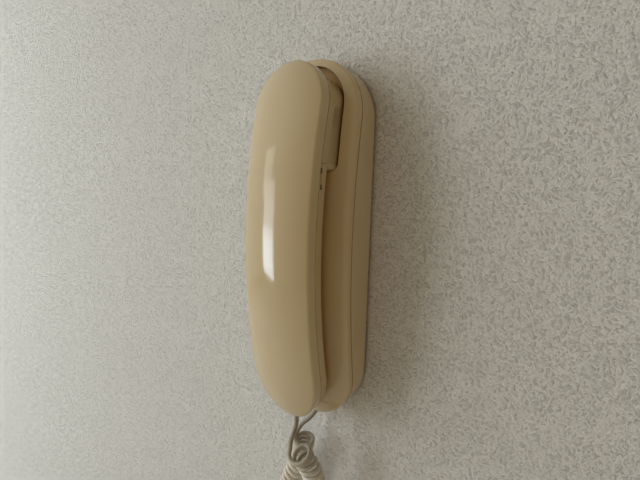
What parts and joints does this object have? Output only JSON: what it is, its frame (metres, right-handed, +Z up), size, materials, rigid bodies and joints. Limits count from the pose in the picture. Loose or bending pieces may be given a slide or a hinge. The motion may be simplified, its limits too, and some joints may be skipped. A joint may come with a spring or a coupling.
{
  "type": "wall telephone",
  "caption": "Slim cream wall telephone: a long curved handset hangs by its receiver block in the ear well of a rounded wall base, joined to it by a hanging curly cord.",
  "frame": {"origin": "on the wall, in the middle of the back of the base", "axes": "+Y into the wall, +Z up along the phone, +X to the right as seen from the room"},
  "size_m": [0.0739, 0.0574, 0.3872],
  "materials": {
    "cream_plastic": "satin moulded cream plastic",
    "key_plastic": "fine matt keys",
    "switch_plastic": "ribbed tan knob",
    "cord_plastic": "soft vinyl, slightly greyed",
    "grey_plastic": "moulded grey",
    "black_plastic": "moulded black",
    "circuit_board": "green board",
    "rubber": "soft dark rubber",
    "steel": "plated steel"
  },
  "bodies": {
    "base": {"base_rear_cover": "cream_plastic", "base_front_cover": "cream_plastic", "base_screws": "steel", "hook_pin": "steel", "hook_spring": "steel", "hook_switch": "black_plastic", "base_board": "circuit_board", "base_board_screws": "steel", "line_terminals": "grey_plastic", "terminal_screws": "steel", "ringer_speaker": "black_plastic", "rest_pads": "rubber", "base_cord_bush": "cord_plastic", "curly_cord": "cord_plastic"},
    "handset": {"handset_cord_bush": "cord_plastic", "handset_outer_shell": "cream_plastic", "handset_inner_shell": "cream_plastic", "handset_screws": "steel", "handset_board": "circuit_board", "receiver": "grey_plastic", "receiver_gasket": "rubber", "microphone": "steel", "microphone_boot": "rubber", "key_mat": "rubber", "handset_weight": "steel", "slide_switch": "black_plastic"},
    "hook_plunger": {"hook_plunger": "cream_plastic"},
    "hook_lever": {"hook_lever": "black_plastic"},
    "slide_knob": {"slide_switch_knob": "switch_plastic"},
    "key_1": {"key_1": "key_plastic"},
    "key_2": {"key_2": "key_plastic"},
    "key_3": {"key_3": "key_plastic"},
    "key_4": {"key_4": "key_plastic"},
    "key_5": {"key_5": "key_plastic"},
    "key_6": {"key_6": "key_plastic"},
    "key_7": {"key_7": "key_plastic"},
    "key_8": {"key_8": "key_plastic"},
    "key_9": {"key_9": "key_plastic"},
    "key_star": {"key_star": "key_plastic"},
    "key_0": {"key_0": "key_plastic"},
    "key_hash": {"key_hash": "key_plastic"}
  },
  "joints": [
    {"name": "handset_lift", "type": "slide", "parent": "base", "child": "handset", "axis": [0, -1, 0], "range_m": [0, 0.1]},
    {"name": "hook_plunger_slide", "type": "slide", "parent": "base", "child": "hook_plunger", "axis": [0, -1, 0], "range_m": [0, 0.004]},
    {"name": "hook_lever_swing", "type": "hinge", "parent": "base", "child": "hook_lever", "pos_m": [0, -0.0054, 0.032], "axis": [1, 0, 0], "range_deg": [0, 8.6]},
    {"name": "slide_switch_travel", "type": "slide", "parent": "handset", "child": "slide_knob", "axis": [0, 0, 1], "range_m": [-0.0024, 0.0024]},
    {"name": "key_1_press", "type": "slide", "parent": "handset", "child": "key_1", "axis": [0, -1, 0], "range_m": [0, 0.0012], "stiffness_N_per_m": 300, "springref_m": -0.0006},
    {"name": "key_2_press", "type": "slide", "parent": "handset", "child": "key_2", "axis": [0, -1, 0], "range_m": [0, 0.0012], "stiffness_N_per_m": 300, "springref_m": -0.0006},
    {"name": "key_3_press", "type": "slide", "parent": "handset", "child": "key_3", "axis": [0, -1, 0], "range_m": [0, 0.0012], "stiffness_N_per_m": 300, "springref_m": -0.0006},
    {"name": "key_4_press", "type": "slide", "parent": "handset", "child": "key_4", "axis": [0, -1, 0], "range_m": [0, 0.0012], "stiffness_N_per_m": 300, "springref_m": -0.0006},
    {"name": "key_5_press", "type": "slide", "parent": "handset", "child": "key_5", "axis": [0, -1, 0], "range_m": [0, 0.0012], "stiffness_N_per_m": 300, "springref_m": -0.0006},
    {"name": "key_6_press", "type": "slide", "parent": "handset", "child": "key_6", "axis": [0, -1, 0], "range_m": [0, 0.0012], "stiffness_N_per_m": 300, "springref_m": -0.0006},
    {"name": "key_7_press", "type": "slide", "parent": "handset", "child": "key_7", "axis": [0, -1, 0], "range_m": [0, 0.0012], "stiffness_N_per_m": 300, "springref_m": -0.0006},
    {"name": "key_8_press", "type": "slide", "parent": "handset", "child": "key_8", "axis": [0, -1, 0], "range_m": [0, 0.0012], "stiffness_N_per_m": 300, "springref_m": -0.0006},
    {"name": "key_9_press", "type": "slide", "parent": "handset", "child": "key_9", "axis": [0, -1, 0], "range_m": [0, 0.0012], "stiffness_N_per_m": 300, "springref_m": -0.0006},
    {"name": "key_star_press", "type": "slide", "parent": "handset", "child": "key_star", "axis": [0, -1, 0], "range_m": [0, 0.0012], "stiffness_N_per_m": 300, "springref_m": -0.0006},
    {"name": "key_0_press", "type": "slide", "parent": "handset", "child": "key_0", "axis": [0, -1, 0], "range_m": [0, 0.0012], "stiffness_N_per_m": 300, "springref_m": -0.0006},
    {"name": "key_hash_press", "type": "slide", "parent": "handset", "child": "key_hash", "axis": [0, -1, 0], "range_m": [0, 0.0012], "stiffness_N_per_m": 300, "springref_m": -0.0006}
  ],
  "couplings": [
    {"joint": "hook_plunger_slide", "follows": "handset_lift", "ratio": 0.04},
    {"joint": "hook_lever_swing", "follows": "handset_lift", "rad_per_m": 1.5}
  ]
}
